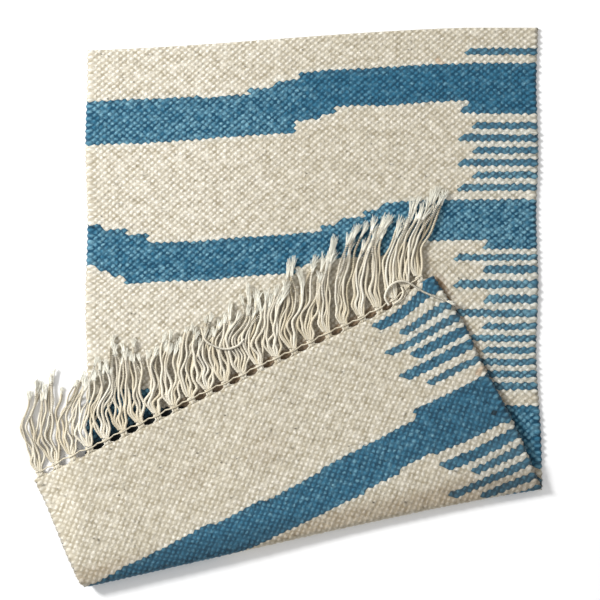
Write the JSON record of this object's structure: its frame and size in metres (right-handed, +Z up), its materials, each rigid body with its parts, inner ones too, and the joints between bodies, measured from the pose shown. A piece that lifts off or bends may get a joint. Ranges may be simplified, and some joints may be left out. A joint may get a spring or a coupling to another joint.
{
  "type": "kilim rug",
  "caption": "Cut length of flat-woven kilim rug with selvedges, knotted warp fringe at one end, lying flat with the fringed end folded obliquely back over it.",
  "frame": {"origin": "on the surface it lies on, under the middle of its bounding box", "axes": "+Z up, +Y along the warp towards the plain end, +X across the rug towards the selvedge with the comb of stripes"},
  "size_m": [0.4588, 0.4954, 0.0164],
  "materials": {
    "weft": "weft-faced plain weave, undyed and blue yarn",
    "warp": "undyed cotton warp yarn, plied"
  },
  "bodies": {
    "root": {"rug_field": "weft", "fringe": "warp"}
  },
  "joints": []
}
